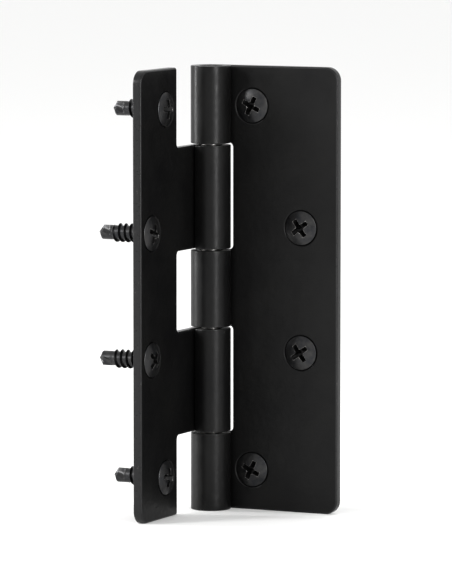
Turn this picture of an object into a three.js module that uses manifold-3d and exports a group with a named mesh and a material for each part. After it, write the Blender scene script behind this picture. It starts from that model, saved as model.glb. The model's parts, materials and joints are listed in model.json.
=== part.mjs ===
// Five-knuckle steel hinge with its pin and its eight countersunk drilling screws.
// Millimetres, +Z up along the pin. The origin is the centre of the post leaf's mounting face:
// +X runs along that leaf, away from the pin, and +Y runs into the post that it is screwed to.

import * as THREE from 'three';
import { mergeVertices } from 'three/addons/utils/BufferGeometryUtils.js';
import Module from 'manifold-3d';

const wasm = await Module();
wasm.setup();

// Leaves and barrel.
const HINGE_HEIGHT = 100;
const LEAF_REACH = 30;               // pin axis to a leaf's free edge
const LEAF_THICKNESS = 2;
const BARREL_RADIUS = 4.5;
const BORE_RADIUS = BARREL_RADIUS - LEAF_THICKNESS;
const POST_KNUCKLE_PITCH = 17.6;     // each of the post leaf's three knuckles, half a gap at each end
const LEG_KNUCKLE_PITCH = (HINGE_HEIGHT - 3 * POST_KNUCKLE_PITCH) / 2;
const KNUCKLE_PITCHES = [
  POST_KNUCKLE_PITCH,
  LEG_KNUCKLE_PITCH,
  POST_KNUCKLE_PITCH,
  LEG_KNUCKLE_PITCH,
  POST_KNUCKLE_PITCH,
];
const KNUCKLE_GAP = 0.4;             // clearance between neighbouring knuckles
const BARREL_CLEARANCE = 0.3;        // round a knuckle, inside its partner's notch
const SEAM_GAP = 0.3;                // between the end of the rolled strip and the plate
const LEAF_CORNER_RADIUS = 3;
const NOTCH_CORNER_RADIUS = 1;
const REST_OPENING = Math.PI / 2;    // angle between the leaves, 0 when closed

// Pin.
const PIN_RADIUS = 2.2;
const PIN_END_CHAMFER = 0.5;
const PIN_INSET = 0.2;               // each end lies this far inside the barrel

// Screw holes.
const HOLE_RADIUS = 2.4;
const COUNTERSINK_RADIUS = 4.1;

// The two leaves: the lowest knuckle that each one carries, the distance from the pin axis to
// the bottom of its notches, and its screw holes by reach from the pin axis and height.
const POST_LEAF = {
  side: 'post',
  firstKnuckle: 0,
  notchReach: 4.2,
  holes: [
    { reach: 9, height: 41 },
    { reach: 21, height: 14 },
    { reach: 21, height: -14 },
    { reach: 9, height: -41 },
  ],
};
const LEG_LEAF = {
  side: 'leg',
  firstKnuckle: 1,
  notchReach: 12,
  holes: [
    { reach: 17.5, height: 41 },
    { reach: 24.5, height: 14 },
    { reach: 24.5, height: -14 },
    { reach: 17.5, height: -41 },
  ],
};

// Screws: 4.2 mm drilling screws, 13 mm long, with raised countersunk heads.
const SCREW_LENGTH = 13;             // from the head's rim to the tip
const SCREW_RADIUS = 2.1;
const HEAD_RADIUS = 3.8;
const HEAD_DOME_HEIGHT = 0.8;
const DRILL_RADIUS = 1.65;
const DRILL_LENGTH = 3.6;
const DRILL_CONE_LENGTH = 1.1;
const RECESS_SPAN = 4.2;
const RECESS_WIDTH = 0.9;
const RECESS_DEPTH = 1.9;

// Facets.
const BARREL_SEGMENTS = 28;
const PIN_SEGMENTS = 28;
const SCREW_SEGMENTS = 20;
const DOME_SEGMENTS = 3;
const CORNER_SEGMENTS = 5;
const OVERCUT = 1;                   // how far a cutter runs past the faces that it cuts

// The share of a corner's radius that makes a cubic curve follow a quarter circle.
const QUARTER_CIRCLE = 0.5523;

const paint = new THREE.MeshStandardMaterial({
  color: 0x1b1b1d,
  roughness: 0.42,
  metalness: 0.1,
  flatShading: true,
});
const pinSteel = new THREE.MeshStandardMaterial({
  color: 0x3a3a3c,
  roughness: 0.38,
  metalness: 0.9,
  flatShading: true,
});
const blackOxide = new THREE.MeshStandardMaterial({
  color: 0x242426,
  roughness: 0.35,
  metalness: 0.8,
  flatShading: true,
});

// A closed three.js geometry as a solid that can be joined and cut.
function solidFrom(geometry) {
  const bare = geometry.index ? geometry.toNonIndexed() : geometry.clone();
  bare.deleteAttribute('normal');
  bare.deleteAttribute('uv');
  const merged = mergeVertices(bare, 1e-4);
  const corners = merged.index.array;
  const triangles = [];
  for (let i = 0; i < corners.length; i += 3) {
    const [a, b, c] = [corners[i], corners[i + 1], corners[i + 2]];
    if (a !== b && b !== c && c !== a) {
      triangles.push(a, b, c);
    }
  }
  return new wasm.Manifold(new wasm.Mesh({
    numProp: 3,
    vertProperties: new Float32Array(merged.attributes.position.array),
    triVerts: new Uint32Array(triangles),
  }));
}

function geometryFrom(solid) {
  const mesh = solid.getMesh();
  const geometry = new THREE.BufferGeometry();
  geometry.setAttribute('position', new THREE.BufferAttribute(mesh.vertProperties, 3));
  geometry.setIndex(new THREE.BufferAttribute(mesh.triVerts, 1));
  geometry.computeVertexNormals();
  return geometry;
}

function namedMesh(name, geometry, material) {
  const mesh = new THREE.Mesh(geometry, material);
  mesh.name = name;
  return mesh;
}

// A closed outline through corners of { x, y, radius }, each a right angle.
function outlineThrough(corners) {
  const shape = new THREE.Shape();
  corners.forEach((corner, i) => {
    const here = new THREE.Vector2(corner.x, corner.y);
    const before = corners.at(i - 1);
    const after = corners[(i + 1) % corners.length];
    const towardsBefore = new THREE.Vector2(before.x, before.y).sub(here).normalize();
    const towardsAfter = new THREE.Vector2(after.x, after.y).sub(here).normalize();
    const entry = here.clone().addScaledVector(towardsBefore, corner.radius);
    const exit = here.clone().addScaledVector(towardsAfter, corner.radius);
    if (i === 0) {
      shape.moveTo(entry.x, entry.y);
    } else {
      shape.lineTo(entry.x, entry.y);
    }
    if (corner.radius > 0) {
      const pull = corner.radius * (1 - QUARTER_CIRCLE);
      const entryPull = here.clone().addScaledVector(towardsBefore, pull);
      const exitPull = here.clone().addScaledVector(towardsAfter, pull);
      shape.bezierCurveTo(entryPull.x, entryPull.y, exitPull.x, exitPull.y, exit.x, exit.y);
    }
  });
  shape.closePath();
  return shape;
}

// A leaf is made with the pin axis on its own Z axis, its plate along +X and its mounting
// face looking towards +Y. This is the strip of the plate and its rolled end, seen along the pin.
function rolledStrip() {
  const seamAngle = 2 * Math.PI + Math.asin((BORE_RADIUS - SEAM_GAP) / BARREL_RADIUS);
  const section = new THREE.Shape();
  section.moveTo(LEAF_REACH, BARREL_RADIUS);
  section.lineTo(0, BARREL_RADIUS);
  section.absarc(0, 0, BARREL_RADIUS, Math.PI / 2, seamAngle, false);
  section.lineTo(BORE_RADIUS * Math.cos(seamAngle), BORE_RADIUS * Math.sin(seamAngle));
  section.absarc(0, 0, BORE_RADIUS, seamAngle, Math.PI / 2, true);
  section.lineTo(LEAF_REACH, BORE_RADIUS);
  section.closePath();
  const strip = new THREE.ExtrudeGeometry(section, {
    depth: HINGE_HEIGHT,
    bevelEnabled: false,
    curveSegments: BARREL_SEGMENTS,
  });
  strip.translate(0, 0, -HINGE_HEIGHT / 2);
  return solidFrom(strip);
}

// The heights between which each knuckle lies, from the lowest up. Neighbours share a bound.
function knuckleSpans() {
  const spans = [];
  let low = -HINGE_HEIGHT / 2;
  for (const pitch of KNUCKLE_PITCHES) {
    spans.push({ low, high: low + pitch });
    low += pitch;
  }
  return spans;
}

// The leaf's outline seen square on: a plate with one tongue for each knuckle that it carries.
function leafBlank({ firstKnuckle, notchReach }) {
  const halfHeight = HINGE_HEIGHT / 2;
  const spans = knuckleSpans();
  const tongueEnd = -BARREL_RADIUS - OVERCUT;
  const corners = [];
  let notchStart = -halfHeight;
  for (let i = firstKnuckle; i < spans.length; i += 2) {
    const low = i === 0 ? -halfHeight : spans[i].low + KNUCKLE_GAP / 2;
    const high = i === spans.length - 1 ? halfHeight : spans[i].high - KNUCKLE_GAP / 2;
    if (low > notchStart) {
      const startRadius = notchStart > -halfHeight ? NOTCH_CORNER_RADIUS : 0;
      corners.push({ x: notchReach, y: notchStart, radius: startRadius });
      corners.push({ x: notchReach, y: low, radius: NOTCH_CORNER_RADIUS });
    }
    corners.push({ x: tongueEnd, y: low, radius: 0 });
    corners.push({ x: tongueEnd, y: high, radius: 0 });
    notchStart = high;
  }
  if (notchStart < halfHeight) {
    corners.push({ x: notchReach, y: notchStart, radius: NOTCH_CORNER_RADIUS });
    corners.push({ x: notchReach, y: halfHeight, radius: 0 });
  }
  corners.push({ x: LEAF_REACH, y: halfHeight, radius: LEAF_CORNER_RADIUS });
  corners.push({ x: LEAF_REACH, y: -halfHeight, radius: LEAF_CORNER_RADIUS });

  const depth = 2 * (BARREL_RADIUS + OVERCUT);
  const blank = new THREE.ExtrudeGeometry(outlineThrough(corners), {
    depth,
    bevelEnabled: false,
    curveSegments: CORNER_SEGMENTS,
  });
  blank.translate(0, 0, -depth / 2);
  blank.rotateX(Math.PI / 2);
  return solidFrom(blank);
}

// The cutter for one screw hole: a 90 degree countersink in the front face, then the hole.
function holeCutter({ reach, height }) {
  const front = BORE_RADIUS;
  const profile = [
    new THREE.Vector2(0, front - OVERCUT),
    new THREE.Vector2(COUNTERSINK_RADIUS + OVERCUT, front - OVERCUT),
    new THREE.Vector2(HOLE_RADIUS, front + COUNTERSINK_RADIUS - HOLE_RADIUS),
    new THREE.Vector2(HOLE_RADIUS, BARREL_RADIUS + OVERCUT),
    new THREE.Vector2(0, BARREL_RADIUS + OVERCUT),
  ];
  const cutter = new THREE.LatheGeometry(profile, SCREW_SEGMENTS);
  cutter.translate(reach, 0, height);
  return solidFrom(cutter);
}

// The round space that a partner's knuckle turns in. It is cut from a leaf whose notches are too
// shallow to clear the knuckle by themselves.
function partnerSpace({ low, high }) {
  const radius = BARREL_RADIUS + BARREL_CLEARANCE;
  const height = high - low + KNUCKLE_GAP;
  const space = new THREE.CylinderGeometry(radius, radius, height, 2 * BARREL_SEGMENTS);
  space.rotateX(Math.PI / 2);
  space.translate(0, 0, (low + high) / 2);
  return solidFrom(space);
}

function leafGeometry(plan) {
  let leaf = rolledStrip().intersect(leafBlank(plan));
  const shallow = plan.notchReach < BARREL_RADIUS + BARREL_CLEARANCE;
  knuckleSpans().forEach((span, i) => {
    if (shallow && i % 2 !== plan.firstKnuckle) {
      leaf = leaf.subtract(partnerSpace(span));
    }
  });
  for (const hole of plan.holes) {
    leaf = leaf.subtract(holeCutter(hole));
  }
  return geometryFrom(leaf);
}

function pinGeometry() {
  const end = HINGE_HEIGHT / 2 - PIN_INSET;
  const shoulder = end - PIN_END_CHAMFER;
  const profile = [
    new THREE.Vector2(0, -end),
    new THREE.Vector2(PIN_RADIUS - PIN_END_CHAMFER, -end),
    new THREE.Vector2(PIN_RADIUS, -shoulder),
    new THREE.Vector2(PIN_RADIUS, shoulder),
    new THREE.Vector2(PIN_RADIUS - PIN_END_CHAMFER, end),
    new THREE.Vector2(0, end),
  ];
  const pin = new THREE.LatheGeometry(profile, PIN_SEGMENTS);
  pin.rotateX(Math.PI / 2);
  return geometryFrom(solidFrom(pin));
}

// A screw points along +Y, with its head's rim in the plane y = 0.
function screwGeometry() {
  const domeRadius = (HEAD_RADIUS ** 2 + HEAD_DOME_HEIGHT ** 2) / (2 * HEAD_DOME_HEIGHT);
  const domeHalfAngle = Math.asin(HEAD_RADIUS / domeRadius);
  const profile = [];
  for (let i = 0; i <= DOME_SEGMENTS; i += 1) {
    const angle = (domeHalfAngle * i) / DOME_SEGMENTS;
    const y = domeRadius * (1 - Math.cos(angle)) - HEAD_DOME_HEIGHT;
    profile.push(new THREE.Vector2(domeRadius * Math.sin(angle), y));
  }
  const drillStart = SCREW_LENGTH - DRILL_LENGTH;
  profile.push(new THREE.Vector2(SCREW_RADIUS, HEAD_RADIUS - SCREW_RADIUS));
  profile.push(new THREE.Vector2(SCREW_RADIUS, drillStart - (SCREW_RADIUS - DRILL_RADIUS)));
  profile.push(new THREE.Vector2(DRILL_RADIUS, drillStart));
  profile.push(new THREE.Vector2(DRILL_RADIUS, SCREW_LENGTH - DRILL_CONE_LENGTH));
  profile.push(new THREE.Vector2(0, SCREW_LENGTH));

  let screw = solidFrom(new THREE.LatheGeometry(profile, SCREW_SEGMENTS));
  const recessLength = 2 * RECESS_DEPTH;
  for (const turn of [0, Math.PI / 2]) {
    const slot = new THREE.BoxGeometry(RECESS_SPAN, recessLength, RECESS_WIDTH);
    slot.rotateY(turn);
    slot.translate(0, RECESS_DEPTH - HEAD_DOME_HEIGHT - recessLength / 2, 0);
    screw = screw.subtract(solidFrom(slot));
  }
  return geometryFrom(screw);
}

// A leaf with its screws, in the leaf's own frame.
function leafSide(plan, screwShape) {
  const group = new THREE.Group();
  group.add(namedMesh(`${plan.side}_leaf`, leafGeometry(plan), paint));
  plan.holes.forEach(({ reach, height }, i) => {
    const screw = namedMesh(`${plan.side}_screw_${i + 1}`, screwShape, blackOxide);
    screw.position.set(reach, BORE_RADIUS, height);
    group.add(screw);
  });
  return group;
}

const screwShape = screwGeometry();
const hinge = new THREE.Group();
hinge.position.set(-LEAF_REACH / 2, -BARREL_RADIUS, 0);

hinge.add(leafSide(POST_LEAF, screwShape));
hinge.add(namedMesh('hinge_pin', pinGeometry(), pinSteel));

// The leg leaf is the post leaf's partner turned over, so that the front faces meet when closed.
const legSide = leafSide(LEG_LEAF, screwShape);
legSide.rotation.x = Math.PI;
const swing = new THREE.Group();
swing.rotation.z = -REST_OPENING;
swing.add(legSide);
hinge.add(swing);

const model = new THREE.Group();
model.add(hinge);

export default model;
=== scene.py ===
"""A black five-knuckle hinge, standing open at a right angle on a pale floor.

Each leaf is made as its flat blank, with eased edges and countersunk holes. Its tongues are then
rolled round the pin, as a real leaf's are. The screws have a cross recess, a rolled thread and a
drill point. Lengths are in metres.
"""

import json
import math
import random

import bmesh
import bpy
from mathutils import Matrix, Vector
from mathutils.geometry import delaunay_2d_cdt


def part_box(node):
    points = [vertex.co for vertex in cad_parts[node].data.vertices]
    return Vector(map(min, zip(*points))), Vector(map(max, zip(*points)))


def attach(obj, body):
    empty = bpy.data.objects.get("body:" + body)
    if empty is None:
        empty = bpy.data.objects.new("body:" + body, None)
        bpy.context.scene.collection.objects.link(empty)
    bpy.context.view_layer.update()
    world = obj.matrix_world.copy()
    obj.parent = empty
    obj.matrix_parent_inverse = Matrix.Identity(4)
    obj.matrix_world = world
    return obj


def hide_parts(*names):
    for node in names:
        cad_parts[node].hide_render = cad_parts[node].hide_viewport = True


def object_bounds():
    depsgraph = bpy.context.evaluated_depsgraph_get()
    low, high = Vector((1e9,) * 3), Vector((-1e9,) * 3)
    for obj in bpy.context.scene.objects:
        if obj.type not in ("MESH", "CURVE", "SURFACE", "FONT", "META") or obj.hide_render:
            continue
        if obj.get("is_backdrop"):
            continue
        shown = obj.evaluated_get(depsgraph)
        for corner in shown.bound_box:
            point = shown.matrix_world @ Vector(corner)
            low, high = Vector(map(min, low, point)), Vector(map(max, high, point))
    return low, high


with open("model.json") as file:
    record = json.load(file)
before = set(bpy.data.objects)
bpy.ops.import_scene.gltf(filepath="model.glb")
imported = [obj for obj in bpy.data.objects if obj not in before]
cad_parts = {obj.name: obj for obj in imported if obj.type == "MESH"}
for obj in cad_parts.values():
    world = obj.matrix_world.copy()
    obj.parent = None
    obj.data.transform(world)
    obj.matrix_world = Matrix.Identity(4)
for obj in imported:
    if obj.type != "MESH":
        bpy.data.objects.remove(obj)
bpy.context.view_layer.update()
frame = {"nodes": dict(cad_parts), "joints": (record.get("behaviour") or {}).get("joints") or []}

MM = 0.001
QUARTER_TURN = math.pi / 2

# ---------------------------------------------------------------- sizes, as the CAD has them

POST_LOW, POST_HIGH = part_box("post_leaf")
HALF_HEIGHT = POST_HIGH.z
BARREL_RADIUS = (POST_HIGH.y - POST_LOW.y) / 2
AXIS = Vector(frame["joints"][0]["pos_m"])
LEAF_REACH = POST_HIGH.x - AXIS.x
LEAF_THICKNESS = 2 * MM
BORE_RADIUS = BARREL_RADIUS - LEAF_THICKNESS
POST_PITCH = 17.6 * MM           # each of the post leaf's three knuckles, with its half gaps
LEG_PITCH = (2 * HALF_HEIGHT - 3 * POST_PITCH) / 2
KNUCKLE_PITCHES = [POST_PITCH, LEG_PITCH, POST_PITCH, LEG_PITCH, POST_PITCH]
KNUCKLE_GAP = 0.4 * MM
SEAM_GAP = 0.3 * MM              # between the end of the rolled strip and the plate
HOLE_RADIUS = 2.4 * MM
COUNTERSINK_RADIUS = 4.1 * MM
LEAF_CORNER_RADIUS = 3 * MM
NOTCH_CORNER_RADIUS = 1 * MM

# Each leaf's body, its lowest knuckle's place in KNUCKLE_PITCHES, and the distance from the pin axis
# to the bottom of its notches.
LEAVES = {
    "post": {"body": "post_side", "first_knuckle": 0, "notch_reach": 4.2 * MM},
    "leg": {"body": "leg_side", "first_knuckle": 1, "notch_reach": 12 * MM},
}

# A leaf's own frame has the pin axis on Z, its plate along +X and its mounting face towards +Y.
# The leg leaf is turned over, and swung open by a right angle.
TURNED_OVER = Matrix.Rotation(math.pi, 4, "X")
SWUNG_OPEN = Matrix.Rotation(-QUARTER_TURN, 4, "Z")
LEAF_PLACE = {
    "post": Matrix.Translation(AXIS),
    "leg": Matrix.Translation(AXIS) @ SWUNG_OPEN @ TURNED_OVER,
}

# ---------------------------------------------------------------- detail that only the visual model has

FRONT_EASE = 0.4 * MM            # the punch rounds the front edge
BACK_EASE = 0.18 * MM
RIM_EASE = 0.15 * MM             # round the countersinks and holes
END_CORNER_RADIUS = 0.6 * MM     # where a tongue's end is cut square
CORNER_STEPS = 10
EASE_STEPS = 3
HOLE_STEPS = 72
ROLL_STEPS = 76
PIN_STEPS = 72
SHARP_ANGLE = math.radians(40)   # a sharper edge isn't shaded smooth
SCREW_SHARP_ANGLE = math.radians(24)
MERGE_DISTANCE = 1e-7            # vertices this near are one
FLAT_DISTANCE = 1e-8             # an edge this short has no length, and a cut this near goes through
SQUARE_ON = 0.95                 # how far along an axis a normal points to count as facing it

# Places in hinge()'s lists of materials, for a leaf and for a screw.
COAT, EASED_EDGE, KNUCKLE_END = range(3)
RECESS_RIM = 2

random.seed(7)                   # for how far each screw has turned


# ---------------------------------------------------------------- materials

def node_material(name):
    """A new material, its nodes, its links and its Principled shader."""
    material = bpy.data.materials.new(name)
    material.use_nodes = True
    nodes = material.node_tree.nodes
    return material, nodes, material.node_tree.links, nodes["Principled BSDF"]


def noise(nodes, links, scale, detail=3.0, roughness=0.55):
    """A noise texture in the piece's own coordinates; scale is in cycles per metre."""
    place = nodes.new("ShaderNodeTexCoord")
    texture = nodes.new("ShaderNodeTexNoise")
    texture.inputs["Scale"].default_value = scale
    texture.inputs["Detail"].default_value = detail
    texture.inputs["Roughness"].default_value = roughness
    links.new(place.outputs["Object"], texture.inputs["Vector"])
    return texture.outputs["Fac"]


def ramp(nodes, links, value, stops):
    """A colour ramp over value; stops are (position, grey or colour)."""
    node = nodes.new("ShaderNodeValToRGB")
    elements = node.color_ramp.elements
    while len(elements) < len(stops):
        elements.new(0.5)
    for element, (position, colour) in zip(elements, stops):
        element.position = position
        element.color = (*colour, 1) if isinstance(colour, tuple) else (colour, colour, colour, 1)
    links.new(value, node.inputs["Fac"])
    return node.outputs["Color"]


def bump(nodes, links, shader, layers):
    """Adds bump layers of (height, strength, distance in metres), one over the other."""
    normal = None
    for height, strength, distance in layers:
        node = nodes.new("ShaderNodeBump")
        node.inputs["Strength"].default_value = strength
        node.inputs["Distance"].default_value = distance
        links.new(height, node.inputs["Height"])
        if normal:
            links.new(normal, node.inputs["Normal"])
        normal = node.outputs["Normal"]
    links.new(normal, shader.inputs["Normal"])


def mix_colour(nodes, links, factor, first, second):
    """A colour that goes from first to second as factor goes from 0 to 1."""
    node = nodes.new("ShaderNodeMix")
    node.data_type = "RGBA"
    links.new(factor, node.inputs["Factor"])
    node.inputs["A"].default_value = (*first, 1)
    node.inputs["B"].default_value = (*second, 1)
    return node.outputs["Result"]


def peel_layers(nodes, links, depth):
    """Bump layers of a sprayed and baked coat: a long soft orange peel under a fine grit."""
    peel = noise(nodes, links, scale=800, detail=1, roughness=0.4)
    grit = noise(nodes, links, scale=4200, detail=2, roughness=0.5)
    return [(peel, depth, 0.1 * MM), (grit, depth / 2, 0.03 * MM)]


def powder_coat():
    """Satin black powder coat, whose tone and gloss vary a little where it was handled."""
    material, nodes, links, shader = node_material("black_powder_coat")
    cloud = noise(nodes, links, scale=90, detail=4)
    black, dusty = (0.0035, 0.0035, 0.0037), (0.0065, 0.0064, 0.0062)
    links.new(ramp(nodes, links, cloud, [(0.3, black), (0.75, dusty)]), shader.inputs["Base Color"])
    smear = noise(nodes, links, scale=260, detail=5, roughness=0.65)
    links.new(ramp(nodes, links, smear, [(0.3, 0.29), (0.7, 0.4)]), shader.inputs["Roughness"])
    shader.inputs["Specular IOR Level"].default_value = 0.21
    bump(nodes, links, shader, peel_layers(nodes, links, depth=0.38))
    return material


def worn_edge():
    """The same coat where it thins over an edge: greyer, glossier and nicked to the steel in places."""
    material, nodes, links, shader = node_material("worn_powder_coat_edge")
    nick = noise(nodes, links, scale=1500, detail=4, roughness=0.7)
    chipped = ramp(nodes, links, nick, [(0.66, 0.0), (0.72, 1.0)])
    thin_coat, steel = (0.009, 0.009, 0.0094), (0.16, 0.15, 0.14)
    links.new(mix_colour(nodes, links, chipped, thin_coat, steel), shader.inputs["Base Color"])
    links.new(chipped, shader.inputs["Metallic"])
    links.new(ramp(nodes, links, nick, [(0.3, 0.25), (0.7, 0.36)]), shader.inputs["Roughness"])
    shader.inputs["Specular IOR Level"].default_value = 0.3
    bump(nodes, links, shader, peel_layers(nodes, links, depth=0.3))
    return material


def rubbed_end():
    """A knuckle's end, where the leaves rub: coat worn through to dull steel in patches."""
    material, nodes, links, shader = node_material("rubbed_knuckle_end")
    patch = noise(nodes, links, scale=420, detail=5, roughness=0.6)
    bare = ramp(nodes, links, patch, [(0.42, 0.0), (0.58, 1.0)])
    coat, steel = (0.01, 0.01, 0.01), (0.16, 0.155, 0.145)
    links.new(mix_colour(nodes, links, bare, coat, steel), shader.inputs["Base Color"])
    links.new(bare, shader.inputs["Metallic"])
    shader.inputs["Roughness"].default_value = 0.38
    scratch = noise(nodes, links, scale=2600, detail=2)
    bump(nodes, links, shader, [(scratch, 0.2, 0.04 * MM)])
    return material


def black_oxide():
    """Blackened screw steel: deep grey with a soft metallic sheen and faint oil blooms."""
    material, nodes, links, shader = node_material("black_oxide_steel")
    bloom = noise(nodes, links, scale=700, detail=4, roughness=0.6)
    dark, pale = (0.03, 0.031, 0.034), (0.058, 0.057, 0.056)
    links.new(ramp(nodes, links, bloom, [(0.3, dark), (0.7, pale)]), shader.inputs["Base Color"])
    shader.inputs["Metallic"].default_value = 0.85
    links.new(ramp(nodes, links, bloom, [(0.35, 0.3), (0.7, 0.42)]), shader.inputs["Roughness"])
    grain = noise(nodes, links, scale=5200, detail=2)
    bump(nodes, links, shader, [(grain, 0.14, 0.02 * MM)])
    return material


def recess_painted_shade():
    """The inside of a cross recess: black oxide painted darker than the head as painted shade in the
    recess, mottled at random.
    """
    material, nodes, links, shader = node_material("recess_painted_shade_oxide")
    shade_mottle = noise(nodes, links, scale=1800, detail=3, roughness=0.6)
    # Painted shade: both tones are darker than the head's own oxide, so the recess reads as shaded.
    darker_shade, lighter_shade = (0.009, 0.009, 0.0095), (0.026, 0.0255, 0.025)
    links.new(ramp(nodes, links, shade_mottle, [(0.4, darker_shade), (0.65, lighter_shade)]), shader.inputs["Base Color"])
    shader.inputs["Metallic"].default_value = 0.8
    shader.inputs["Roughness"].default_value = 0.5
    scratch = noise(nodes, links, scale=6000, detail=2)
    bump(nodes, links, shader, [(scratch, 0.2, 0.02 * MM)])
    return material


def burnished_rim():
    """The recess's rim, rubbed towards bare steel by the driver bit."""
    material, nodes, links, shader = node_material("burnished_recess_rim")
    rub = noise(nodes, links, scale=1500, detail=3, roughness=0.6)
    black, bright = (0.07, 0.07, 0.072), (0.33, 0.32, 0.31)
    links.new(ramp(nodes, links, rub, [(0.35, black), (0.62, bright)]), shader.inputs["Base Color"])
    shader.inputs["Metallic"].default_value = 0.95
    shader.inputs["Roughness"].default_value = 0.3
    return material


def pin_wire():
    """Drawn steel wire with a cut end, darkened by oil."""
    material, nodes, links, shader = node_material("pin_wire_steel")
    stain = noise(nodes, links, scale=1600, detail=4, roughness=0.6)
    dark, pale = (0.13, 0.127, 0.122), (0.24, 0.235, 0.23)
    links.new(ramp(nodes, links, stain, [(0.35, dark), (0.7, pale)]), shader.inputs["Base Color"])
    shader.inputs["Metallic"].default_value = 1.0
    links.new(ramp(nodes, links, stain, [(0.35, 0.28), (0.7, 0.45)]), shader.inputs["Roughness"])
    grain = noise(nodes, links, scale=4000, detail=3)
    bump(nodes, links, shader, [(grain, 0.25, 0.03 * MM)])
    return material


# ---------------------------------------------------------------- meshes

def finish_mesh(name, bm, sharp_angle=SHARP_ANGLE):
    """A mesh from bm: faces outward, smooth but for edges sharper than sharp_angle."""
    bmesh.ops.remove_doubles(bm, verts=bm.verts, dist=MERGE_DISTANCE)
    bmesh.ops.dissolve_degenerate(bm, edges=bm.edges, dist=FLAT_DISTANCE)
    bmesh.ops.recalc_face_normals(bm, faces=bm.faces)
    for face in bm.faces:
        face.smooth = True
    for edge in bm.edges:
        edge.smooth = len(edge.link_faces) == 2 and edge.calc_face_angle(0) < sharp_angle
    mesh = bpy.data.meshes.new(name)
    bm.to_mesh(mesh)
    bm.free()
    return mesh


def add_piece(name, mesh, materials, place, body):
    """Shows mesh for the CAD node of the same name, on that node's body."""
    for material in materials:
        mesh.materials.append(material)
    piece = bpy.data.objects.new(f"{name}_shown", mesh)
    bpy.context.scene.collection.objects.link(piece)
    mesh.transform(place)
    weigh = piece.modifiers.new("weighted_normals", "WEIGHTED_NORMAL")
    weigh.keep_sharp = True
    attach(piece, body)
    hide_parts(name)


def circle(centre, radius, steps):
    """Points round a circle."""
    points = []
    for i in range(steps):
        turn = 2 * math.pi * i / steps
        points.append(centre + Vector((math.cos(turn), math.sin(turn))) * radius)
    return points


def bridge(bm, low, high, material=0):
    """Joins two rings of as many vertices with a band of faces."""
    count = len(low)
    for i in range(count):
        j = (i + 1) % count
        face = bm.faces.new((low[i], low[j], high[j], high[i]))
        face.material_index = material


def ring_at(bm, radius, z, steps):
    """A ring of vertices round the Z axis, or the one vertex on it where radius is 0."""
    points = circle(Vector((0, 0)), radius, steps) if radius > 0 else [Vector((0, 0))]
    return [bm.verts.new((p.x, p.y, z)) for p in points]


def lathe(bm, profile, steps):
    """A skin turned about Z through (radius, z) pairs. Returns its last ring of vertices."""
    rings = [ring_at(bm, radius, z, steps) for radius, z in profile]
    for low, high in zip(rings, rings[1:]):
        for i in range(steps):
            j = (i + 1) % steps
            corners = [low[i % len(low)], low[j % len(low)], high[j % len(high)], high[i % len(high)]]
            # Beside the axis, two of the four corners are one vertex.
            bm.faces.new(list(dict.fromkeys(corners)))
    return rings[-1]


# ---------------------------------------------------------------- leaves

# The strip is rolled on until the outside of its end is SEAM_GAP from its own plate.
SEAM_ANGLE = 3 * QUARTER_TURN + math.asin((BORE_RADIUS - SEAM_GAP) / BARREL_RADIUS)
ROLL_LENGTH = BARREL_RADIUS * SEAM_ANGLE


def blank_outline(plan):
    """The flat blank's square corners, ((x, y), radius), anticlockwise.

    x is along the strip from the start of the roll, and y is height.
    """
    corners = []
    notch = plan["notch_reach"]
    start = -HALF_HEIGHT
    last = len(KNUCKLE_PITCHES) - 1
    for i in range(plan["first_knuckle"], last + 1, 2):
        base = -HALF_HEIGHT + sum(KNUCKLE_PITCHES[:i])
        low = base + (KNUCKLE_GAP / 2 if i > 0 else 0)
        high = base + KNUCKLE_PITCHES[i] - (KNUCKLE_GAP / 2 if i < last else 0)
        if low > start:
            radius = NOTCH_CORNER_RADIUS if start > -HALF_HEIGHT else END_CORNER_RADIUS
            corners.append(((notch, start), radius))
            corners.append(((notch, low), NOTCH_CORNER_RADIUS))
        corners.append(((-ROLL_LENGTH, low), END_CORNER_RADIUS))
        corners.append(((-ROLL_LENGTH, high), END_CORNER_RADIUS))
        start = high
    if start < HALF_HEIGHT:
        corners.append(((notch, start), NOTCH_CORNER_RADIUS))
        corners.append(((notch, HALF_HEIGHT), END_CORNER_RADIUS))
    corners.append(((LEAF_REACH, HALF_HEIGHT), LEAF_CORNER_RADIUS))
    corners.append(((LEAF_REACH, -HALF_HEIGHT), LEAF_CORNER_RADIUS))
    corners.reverse()
    return corners


def inset_loop(corners, inset):
    """Points round an outline of square corners, with their radii, moved inward by inset."""
    points = []
    count = len(corners)
    for i, (corner, radius) in enumerate(corners):
        here = Vector(corner)
        back = (Vector(corners[i - 1][0]) - here).normalized()
        ahead = (Vector(corners[(i + 1) % count][0]) - here).normalized()
        convex = ahead.cross(back) > 0
        centre = here + (back + ahead) * radius
        reach = radius - inset if convex else radius + inset
        for step in range(CORNER_STEPS + 1):
            turn = QUARTER_TURN * step / CORNER_STEPS
            points.append(centre - ahead * reach * math.cos(turn) - back * reach * math.sin(turn))
    return points


def ease_profile():
    """(inset, height) pairs up the blank's edge, rounded over at the back and the front."""
    profile = []
    turns = [QUARTER_TURN * step / EASE_STEPS for step in range(EASE_STEPS + 1)]
    for turn in turns:
        profile.append((BACK_EASE * (1 - math.sin(turn)), BACK_EASE * (1 - math.cos(turn))))
    for turn in turns:
        height = LEAF_THICKNESS - FRONT_EASE * (1 - math.sin(turn))
        profile.append((FRONT_EASE * (1 - math.cos(turn)), height))
    return profile


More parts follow.
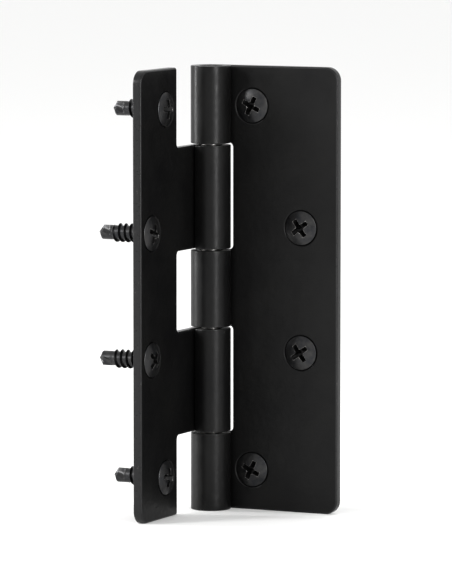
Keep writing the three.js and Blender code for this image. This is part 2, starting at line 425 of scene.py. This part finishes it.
def hole_profile():
    """(radius, height) pairs up a countersunk hole, from the mounting face to the front face."""
    sink_start = LEAF_THICKNESS - (COUNTERSINK_RADIUS - HOLE_RADIUS)
    return [
        (HOLE_RADIUS + RIM_EASE / 2, 0),
        (HOLE_RADIUS, RIM_EASE / 2),
        (HOLE_RADIUS, sink_start),
        # The countersink's rim, rounded over in three steps.
        (COUNTERSINK_RADIUS - RIM_EASE, LEAF_THICKNESS - RIM_EASE),
        (COUNTERSINK_RADIUS - RIM_EASE * 0.35, LEAF_THICKNESS - RIM_EASE * 0.45),
        (COUNTERSINK_RADIUS + RIM_EASE * 0.5, LEAF_THICKNESS - RIM_EASE * 0.1),
        (COUNTERSINK_RADIUS + RIM_EASE, LEAF_THICKNESS),
    ]


def stack_loops(bm, loops, heights, material=COAT):
    """Joins a blank's loops one above the other and returns their rings of vertices."""
    rings = []
    for loop, height in zip(loops, heights):
        rings.append([bm.verts.new((p.x, height, p.y)) for p in loop])
    for low, high in zip(rings, rings[1:]):
        bridge(bm, low, high, material)
    return rings


def inside(point, outline):
    """Whether point lies inside a closed outline."""
    crossings = 0
    for a, b in zip(outline, outline[1:] + outline[:1]):
        if (a.y > point.y) != (b.y > point.y):
            x = a.x + (point.y - a.y) * (b.x - a.x) / (b.y - a.y)
            crossings += x > point.x
    return crossings % 2 == 1


def fill_between(bm, outer, holes):
    """Fills the flat face of a blank inside the ring outer and outside the rings in holes."""
    rings = [outer] + holes
    verts = [v for ring in rings for v in ring]
    coords = [Vector((v.co.x, v.co.z)) for v in verts]
    loops = []
    start = 0
    for ring in rings:
        loops.append([start + i for i in range(len(ring))])
        start += len(ring)
    edges = [(a, b) for loop in loops for a, b in zip(loop, loop[1:] + loop[:1])]
    only_inside, nearness = 1, 1e-9
    _, _, triangles, origin, _, _ = delaunay_2d_cdt(coords, edges, [], only_inside, nearness)
    hole_outlines = [[coords[i] for i in loop] for loop in loops[1:]]
    for triangle in triangles:
        corner = [origin[i][0] for i in triangle]
        middle = sum((coords[i] for i in corner), Vector((0, 0))) / 3
        if not any(inside(middle, hole) for hole in hole_outlines):
            bm.faces.new([verts[i] for i in corner])


def cut_across(bm, along):
    """Cuts a blank across at a place along the strip."""
    everything = bm.verts[:] + bm.edges[:] + bm.faces[:]
    bmesh.ops.bisect_plane(
        bm, geom=everything, plane_co=(along, 0, 0), plane_no=(1, 0, 0), dist=FLAT_DISTANCE
    )


def cut_for_roll(bm):
    """Cuts a blank's tongues at even steps, so that they bend, and then where the roll starts."""
    for step in range(1, ROLL_STEPS):
        cut_across(bm, -ROLL_LENGTH * step / ROLL_STEPS)
    cut_across(bm, 0)


def mark_knuckle_ends(bm):
    """Gives the rubbed material to the tongues' cut sides that another knuckle turns against."""
    for face in bm.faces:
        face.normal_update()
        middle = face.calc_center_median()
        is_side = middle.x < 0 and abs(face.normal.z) > SQUARE_ON
        if is_side and abs(middle.z) < HALF_HEIGHT - BARREL_RADIUS:
            face.material_index = KNUCKLE_END


def roll(vertex):
    """Takes a blank's vertex to its place on the leaf, rolled round the pin where x is under 0."""
    along, up = vertex.co.x, vertex.co.y
    radius = BARREL_RADIUS - up
    if along >= 0:
        vertex.co.y = radius
        return
    angle = QUARTER_TURN - along / BARREL_RADIUS
    vertex.co.x = radius * math.cos(angle)
    vertex.co.y = radius * math.sin(angle)


def leaf_mesh(side, plan, holes):
    """A leaf in its own frame, with screw holes centred at holes.

    While it is a blank, x is along the strip, y up through the sheet and z the hinge's height.
    """
    bm = bmesh.new()
    corners = blank_outline(plan)
    wall = ease_profile()
    loops = [inset_loop(corners, inset) for inset, _ in wall]
    edge_rings = stack_loops(bm, loops, [height for _, height in wall], EASED_EDGE)
    back_rims, front_rims = [], []
    for centre in holes:
        profile = hole_profile()
        circles = [circle(centre, radius, HOLE_STEPS) for radius, _ in profile]
        hole_rings = stack_loops(bm, circles, [height for _, height in profile])
        back_rims.append(hole_rings[0])
        front_rims.append(hole_rings[-1])
    fill_between(bm, edge_rings[0], back_rims)
    fill_between(bm, edge_rings[-1], front_rims)
    cut_for_roll(bm)
    mark_knuckle_ends(bm)
    for vertex in bm.verts:
        roll(vertex)
    return finish_mesh(f"{side}_leaf", bm)


def hole_centres(side):
    """The side's screw holes in its leaf's blank, from where the CAD's screws are."""
    centres = []
    for name in sorted(n for n in frame["nodes"] if n.startswith(f"{side}_screw")):
        low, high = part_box(name)
        middle = LEAF_PLACE[side].inverted() @ ((low + high) / 2)
        centres.append(Vector((middle.x, middle.z)))
    return centres


# ---------------------------------------------------------------- pin

def pin_mesh():
    """The pin: a wire whose cut ends are dished a little where they were staked."""
    low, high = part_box("hinge_pin")
    radius = (high.x - low.x) / 2
    end = high.z
    half = [
        # The dish.
        (0, end - 0.35 * MM),
        (0.5 * MM, end - 0.32 * MM),
        (0.95 * MM, end - 0.12 * MM),
        (1.25 * MM, end - 0.02 * MM),
        (1.5 * MM, end),
        # The rounded edge.
        (radius - 0.4 * MM, end - 0.03 * MM),
        (radius - 0.2 * MM, end - 0.12 * MM),
        (radius - 0.06 * MM, end - 0.3 * MM),
        (radius, end - 0.6 * MM),
    ]
    bm = bmesh.new()
    lathe(bm, half + [(r, -z) for r, z in reversed(half)], PIN_STEPS)
    return finish_mesh("hinge_pin", bm)


# ---------------------------------------------------------------- screws

HEAD_RADIUS = 3.8 * MM
HEAD_DOME = 0.8 * MM
DOME_STEPS = 14
SHANK_RADIUS = 2.1 * MM
ROOT_RADIUS = 1.58 * MM
THREAD_PITCH = 1.4 * MM
THREAD_RUN_OUT = 0.6 * THREAD_PITCH
SCREW_LENGTH = 13 * MM           # from the head's rim to the tip
SCREW_STEPS = 64
DRILL_RADIUS = 1.62 * MM
DRILL_START = 9.4 * MM
DRILL_CONE = 1.1 * MM
DRILL_STEPS = 12
FLUTE_OFFSET = 1.75 * MM         # from the screw's axis to the axis of the grinding wheel's round
FLUTE_RADIUS = 1.12 * MM
FLUTE_SHOULDER = 0.2 * MM        # from the start of the drill to the start of its flutes
FLUTE_RUN_IN = 0.8 * MM
FLUTE_TWIST = 0.22 / MM          # radians per metre
# One turn of the thread: its share of the pitch, and its height from root (0) to crest (1).
THREAD_FORM = [(0.0, 0.0), (0.26, 0.0), (0.5, 0.0), (0.71, 1.0), (0.76, 1.0)]

RIM_WEAR = 0.05 * MM
# The cross recess, from above the head down: its height, its wings' reach and half width, and the
# leg of the chamfer between two wings.
RECESS_LEVELS = [
    (-1.4 * MM, 2.5 * MM, 0.6 * MM, 0.225 * MM),
    (-0.8 * MM, 2.36 * MM, 0.56 * MM, 0.2 * MM),
    (0.95 * MM, 1.25 * MM, 0.36 * MM, 0.1 * MM),
    (1.3 * MM, 0.45 * MM, 0.2 * MM, 0.05 * MM),
]


def head_profile():
    """(radius, z) pairs from the top of the domed head to the neck under it; z grows to the tip."""
    dome_radius = (HEAD_RADIUS ** 2 + HEAD_DOME ** 2) / (2 * HEAD_DOME)
    half_angle = math.asin(HEAD_RADIUS / dome_radius)
    profile = []
    for i in range(DOME_STEPS):
        angle = half_angle * i / DOME_STEPS
        z = dome_radius * (1 - math.cos(angle)) - HEAD_DOME
        profile.append((dome_radius * math.sin(angle), z))
    neck = HEAD_RADIUS - SHANK_RADIUS
    return profile + [
        # The rounded rim.
        (HEAD_RADIUS - 0.06 * MM, -0.02 * MM),
        (HEAD_RADIUS, 0.05 * MM),
        (HEAD_RADIUS - 0.08 * MM, 0.16 * MM),
        # The cone under the head, which runs out into the thread's root.
        (SHANK_RADIUS + 0.12 * MM, neck - 0.12 * MM),
        (SHANK_RADIUS - 0.15 * MM, neck + 0.1 * MM),
        (ROOT_RADIUS + 0.1 * MM, neck + 0.35 * MM),
        (ROOT_RADIUS, neck + 0.6 * MM),
    ]


def smooth_step(value):
    """Goes from 0 to 1 as value does, and is level at both ends."""
    value = min(1, max(0, value))
    return value * value * (3 - 2 * value)


def thread_row(bm, start_turn, rise, z_start, z_end):
    """One turn of a line along the thread, held between z_start and z_end.

    It starts start_turn turns from z_start, and rise is from root (0) to crest (1).
    """
    row = []
    for i in range(SCREW_STEPS):
        z = z_start + (start_turn + i / SCREW_STEPS) * THREAD_PITCH
        z = min(z_end, max(z_start, z))
        fade = smooth_step((z - z_start) / THREAD_PITCH) * smooth_step((z_end - z) / THREAD_RUN_OUT)
        radius = ROOT_RADIUS + (SHANK_RADIUS - ROOT_RADIUS) * rise * fade
        angle = 2 * math.pi * i / SCREW_STEPS
        row.append(bm.verts.new((radius * math.cos(angle), radius * math.sin(angle), z)))
    return row


def thread_skin(bm, first_ring, z_start, z_end):
    """A helical thread from first_ring, at z_start, which runs out at z_end.

    Its rows start a turn early and end a turn late. What is past either end lies flat on it, and
    finish_mesh() merges that.
    """
    per_turn = len(THREAD_FORM)
    turns = math.ceil((z_end - z_start) / THREAD_PITCH) + 2
    rows = []
    for turn in range(turns):
        for share, rise in THREAD_FORM:
            rows.append(thread_row(bm, turn - 1 + share, rise, z_start, z_end))
    for row in range(len(rows) - 1):
        low, high = rows[row], rows[row + 1]
        for i in range(SCREW_STEPS - 1):
            bm.faces.new((low[i], low[i + 1], high[i + 1], high[i]))
        # A row's end meets the start of the row one turn on.
        if row + 1 + per_turn < len(rows):
            next_low, next_high = rows[row + per_turn], rows[row + 1 + per_turn]
            bm.faces.new((low[-1], next_low[0], next_high[0], high[-1]))
    bridge(bm, first_ring, rows[0])


def flute_radius(angle, depth):
    """The drill's radius at an angle, of at most a quarter turn, from the middle of a flute.

    depth goes from 0, no flute, to 1, the whole flute.
    """
    across = FLUTE_OFFSET * math.sin(angle)
    if abs(across) >= FLUTE_RADIUS:
        return DRILL_RADIUS
    cut = FLUTE_OFFSET * math.cos(angle) - math.sqrt(FLUTE_RADIUS ** 2 - across ** 2)
    return DRILL_RADIUS - (DRILL_RADIUS - cut) * depth


def drill_point(bm):
    """Two slightly twisted flutes and a cone, from DRILL_START to the tip."""
    ring = ring_at(bm, ROOT_RADIUS, DRILL_START, SCREW_STEPS)
    cone_start = SCREW_LENGTH - DRILL_CONE
    for step in range(1, DRILL_STEPS + 1):
        z = DRILL_START + (cone_start - DRILL_START) * step / DRILL_STEPS
        depth = smooth_step((z - DRILL_START - FLUTE_SHOULDER) / FLUTE_RUN_IN)
        twist = FLUTE_TWIST * (z - DRILL_START)
        next_ring = []
        for i in range(SCREW_STEPS):
            angle = 2 * math.pi * i / SCREW_STEPS
            radius = flute_radius(math.remainder(angle, math.pi), depth)
            x, y = radius * math.cos(angle + twist), radius * math.sin(angle + twist)
            next_ring.append(bm.verts.new((x, y, z)))
        bridge(bm, ring, next_ring)
        ring = next_ring
    tip = bm.verts.new((0, 0, SCREW_LENGTH))
    for i in range(SCREW_STEPS):
        bm.faces.new((ring[i], ring[(i + 1) % SCREW_STEPS], tip))


def recess_cutter():
    """The cross recess as a solid: four tapered wings round a tapered core."""
    bm = bmesh.new()
    rings = []
    for z, reach, half_width, chamfer in RECESS_LEVELS:
        ring = []
        root = half_width + chamfer
        wing = [(root, -half_width), (reach, -half_width), (reach, half_width), (root, half_width)]
        for quarter in range(4):
            turn = Matrix.Rotation(QUARTER_TURN * quarter, 2)
            for corner in wing:
                p = turn @ Vector(corner)
                ring.append(bm.verts.new((p.x, p.y, z)))
        rings.append(ring)
    for low, high in zip(rings, rings[1:]):
        bridge(bm, low, high)
    bm.faces.new(rings[0])
    bm.faces.new(rings[-1])
    return finish_mesh("recess_cutter", bm)


def recess_rim(bm):
    """The edges between the head and its recess."""
    rim = []
    for edge in bm.edges:
        materials = {face.material_index for face in edge.link_faces}
        if len(edge.link_faces) == 2 and len(materials) == 2:
            rim.append(edge)
    return rim


def cut_recess(mesh):
    """The screw with its recess cut out. The recess gets its painted-shade material and its worn rim a
    material of its own.
    """
    screw = bpy.data.objects.new("screw_blank", mesh)
    cutter = bpy.data.objects.new("recess_cutter", recess_cutter())
    # The recess's faces keep the cutter's mark, which comes second in the result.
    for obj, mark in ((screw, "oxide_mark"), (cutter, "recess_mark")):
        bpy.context.scene.collection.objects.link(obj)
        obj.data.materials.append(bpy.data.materials.new(mark))
    cut = screw.modifiers.new("recess", "BOOLEAN")
    cut.operation = "DIFFERENCE"
    cut.object = cutter
    cut.solver = "EXACT"
    cut.material_mode = "TRANSFER"
    evaluated = screw.evaluated_get(bpy.context.evaluated_depsgraph_get())
    result = bpy.data.meshes.new_from_object(evaluated)
    bpy.data.objects.remove(screw)
    bpy.data.objects.remove(cutter)
    bm = bmesh.new()
    bm.from_mesh(result)
    # The rim's vertices are merged where they are too near each other to bevel.
    rim_vertices = list(dict.fromkeys(vertex for edge in recess_rim(bm) for vertex in edge.verts))
    bmesh.ops.remove_doubles(bm, verts=rim_vertices, dist=2 * RIM_WEAR)
    bmesh.ops.dissolve_degenerate(bm, edges=bm.edges, dist=MERGE_DISTANCE)
    bmesh.ops.bevel(
        bm, geom=recess_rim(bm), offset=RIM_WEAR, segments=2, affect="EDGES", material=RECESS_RIM
    )
    return finish_mesh("screw", bm, SCREW_SHARP_ANGLE)


def screw_mesh():
    """A drilling screw along +Z, its head's rim at z = 0."""
    bm = bmesh.new()
    profile = head_profile()
    neck_ring = lathe(bm, profile, SCREW_STEPS)
    thread_start = profile[-1][1]
    thread_skin(bm, neck_ring, thread_start, DRILL_START)
    drill_point(bm)
    return cut_recess(finish_mesh("screw_blank", bm))


# ---------------------------------------------------------------- the hinge

def side_with_screws(side, plan, leaf_materials, screw_form, screw_materials):
    """A leaf and its screws, each screw turned by chance."""
    body, place = plan["body"], LEAF_PLACE[side]
    holes = hole_centres(side)
    add_piece(f"{side}_leaf", leaf_mesh(side, plan, holes), leaf_materials, place, body)
    into_leaf = Matrix.Rotation(-QUARTER_TURN, 4, "X")
    for number, centre in enumerate(holes, 1):
        spin = Matrix.Rotation(random.uniform(0, 2 * math.pi), 4, "Z")
        seat = Matrix.Translation((centre.x, BORE_RADIUS, centre.y))
        screw_place = place @ seat @ into_leaf @ spin
        name = f"{side}_screw_{number}"
        add_piece(name, screw_form.copy(), screw_materials, screw_place, body)


def hinge():
    """Both leaves with their screws, and the pin."""
    leaf_materials = [powder_coat(), worn_edge(), rubbed_end()]
    # The second screw material is the recess's painted shade.
    screw_materials = [black_oxide(), recess_painted_shade(), burnished_rim()]
    wire = pin_wire()
    screw_form = screw_mesh()
    for side, plan in LEAVES.items():
        side_with_screws(side, plan, leaf_materials, screw_form, screw_materials)
    on_axis = Matrix.Translation((AXIS.x, AXIS.y, 0))
    add_piece("hinge_pin", pin_mesh(), [wire], on_axis, "post_side")


# ---------------------------------------------------------------- floor, light and camera

FLOOR_REACH = 6                  # metres from the hinge to the floor's edges
CAMERA_AZIMUTH = math.radians(25.6)
CAMERA_ELEVATION = math.radians(5.7)
VIEW_HEIGHT = 0.13               # metres that the picture's height takes in at the hinge
LENS = 300                       # millimetres
SENSOR = 36                      # millimetres, along the picture's longer side


def floor():
    """A plain pale floor under the hinge."""
    mesh = bpy.data.meshes.new("floor")
    far = FLOOR_REACH
    corners = [(x, y, -HALF_HEIGHT) for x, y in ((-far, -far), (far, -far), (far, far), (-far, far))]
    mesh.from_pydata(corners, [], [(0, 1, 2, 3)])
    material, _, _, shader = node_material("pale_floor")
    shader.inputs["Base Color"].default_value = (0.86, 0.86, 0.855, 1)
    shader.inputs["Roughness"].default_value = 0.75
    mesh.materials.append(material)
    obj = bpy.data.objects.new("floor", mesh)
    bpy.context.scene.collection.objects.link(obj)
    obj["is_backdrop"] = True


def area_light(name, position, size, power):
    """A soft rectangular lamp at position, facing the hinge; power is in watts."""
    light = bpy.data.lights.new(name, "AREA")
    light.shape = "RECTANGLE"
    light.size, light.size_y = size
    light.energy = power
    obj = bpy.data.objects.new(name, light)
    obj.location = position
    obj.rotation_euler = (-Vector(position)).to_track_quat("-Z", "Y").to_euler()
    bpy.context.scene.collection.objects.link(obj)


def studio():
    """Pale surroundings, a soft key from the upper left, two tall strips and a faint top light."""
    world = bpy.data.worlds.new("studio")
    world.use_nodes = True
    background = world.node_tree.nodes["Background"]
    background.inputs["Color"].default_value = (1, 1, 1, 1)
    background.inputs["Strength"].default_value = 0.9
    bpy.context.scene.world = world
    area_light("key", (-0.7, -0.72, 0.42), size=(0.22, 0.22), power=6)
    area_light("right_strip", (0.7, -0.46, 0.15), size=(0.05, 0.7), power=6)
    area_light("left_strip", (-0.76, -0.25, 0.1), size=(0.04, 0.6), power=5)
    area_light("top", (0.1, 0.4, 1.0), size=(0.5, 0.4), power=0.8)


def camera():
    """The photograph's viewing direction on this hinge, through a long lens."""
    level = math.cos(CAMERA_ELEVATION)
    back = Vector((math.sin(CAMERA_AZIMUTH) * level, -math.cos(CAMERA_AZIMUTH) * level,
                   math.sin(CAMERA_ELEVATION)))
    low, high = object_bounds()
    centre = (low + high) / 2
    centre.z = 0
    data = bpy.data.cameras.new("camera")
    data.lens = LENS
    data.sensor_width = SENSOR
    data.clip_start, data.clip_end = 0.05, 20
    obj = bpy.data.objects.new("camera", data)
    obj.location = centre + back * (VIEW_HEIGHT * LENS / SENSOR)
    obj.rotation_euler = (-back).to_track_quat("-Z", "Y").to_euler()
    bpy.context.scene.collection.objects.link(obj)
    bpy.context.scene.camera = obj


hinge()
floor()
studio()
camera()
bpy.context.scene.view_settings.view_transform = "Standard"
bpy.context.scene.view_settings.look = "Medium High Contrast"
